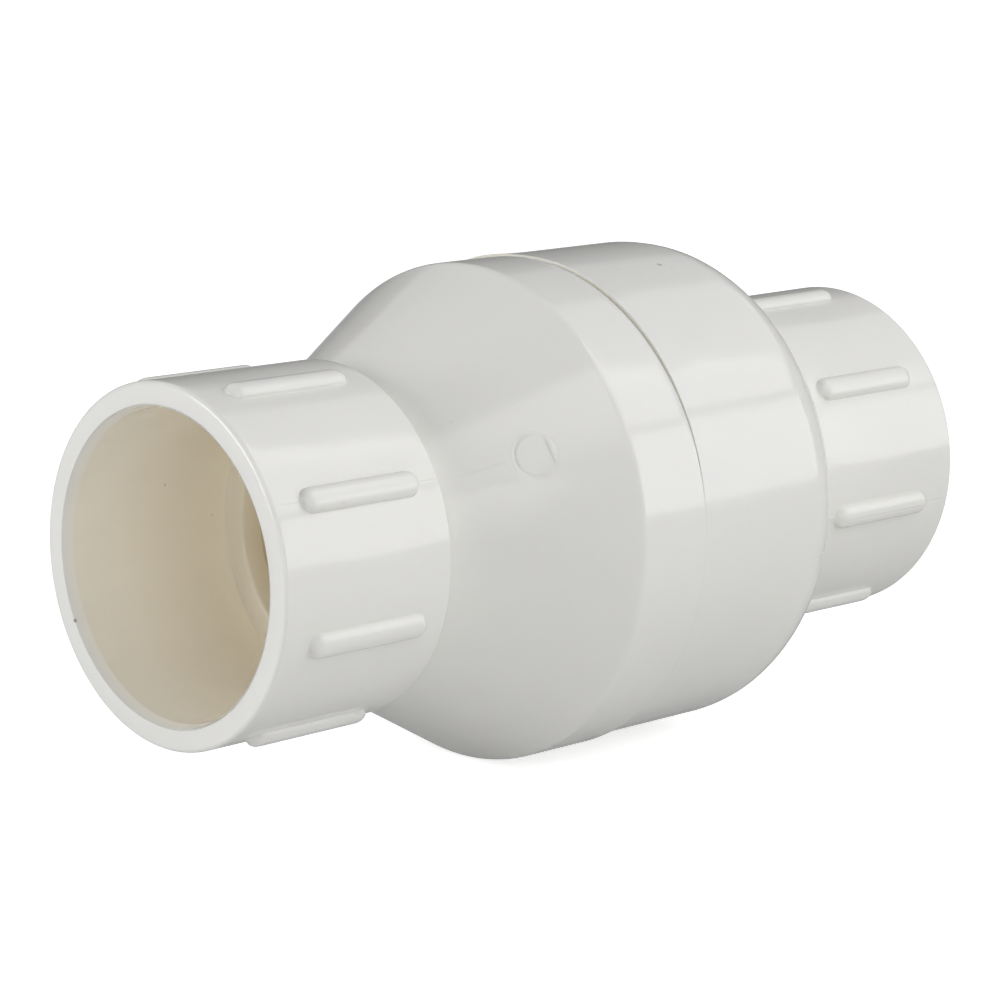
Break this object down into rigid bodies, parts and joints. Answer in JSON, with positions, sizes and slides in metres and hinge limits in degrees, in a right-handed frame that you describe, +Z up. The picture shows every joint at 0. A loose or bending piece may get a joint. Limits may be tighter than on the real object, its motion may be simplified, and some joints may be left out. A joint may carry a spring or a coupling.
{
  "type": "spring check valve",
  "caption": "White plastic in-line check valve: two ribbed slip sockets, a fat round barrel and a spring-loaded poppet inside.",
  "frame": {"origin": "on the flow axis, halfway between the two socket faces", "axes": "+X along the flow, out of the outlet socket, which is the end with the long cone; +Z up"},
  "size_m": [0.1532, 0.0818, 0.0818],
  "materials": {
    "pvc_white": "glossy moulded PVC, slightly warm white, tan where it is thin and seen from inside",
    "inner_plastic": "satin moulded plastic",
    "stainless": "drawn and pressed stainless steel",
    "seal_rubber": "matt black rubber"
  },
  "bodies": {
    "valve_body": {"outlet_body": "pvc_white", "inlet_body": "pvc_white", "guide_cage": "inner_plastic", "return_spring": "stainless"},
    "slip_washer": {"spring_washer": "stainless"},
    "poppet": {"poppet": "inner_plastic", "poppet_seal": "seal_rubber", "seal_retainer": "inner_plastic", "retainer_washer": "stainless", "retainer_screw": "stainless", "stem_clip": "stainless"}
  },
  "joints": [
    {"name": "poppet_travel", "type": "slide", "parent": "valve_body", "child": "slip_washer", "axis": [1, 0, 0], "range_m": [0, 0.012], "stiffness_N_per_m": 633, "springref_m": -0.0085, "deforming": ["return_spring"]},
    {"name": "poppet_spin", "type": "hinge", "parent": "slip_washer", "child": "poppet", "pos_m": [0, 0, 0], "axis": [1, 0, 0], "continuous": true}
  ]
}
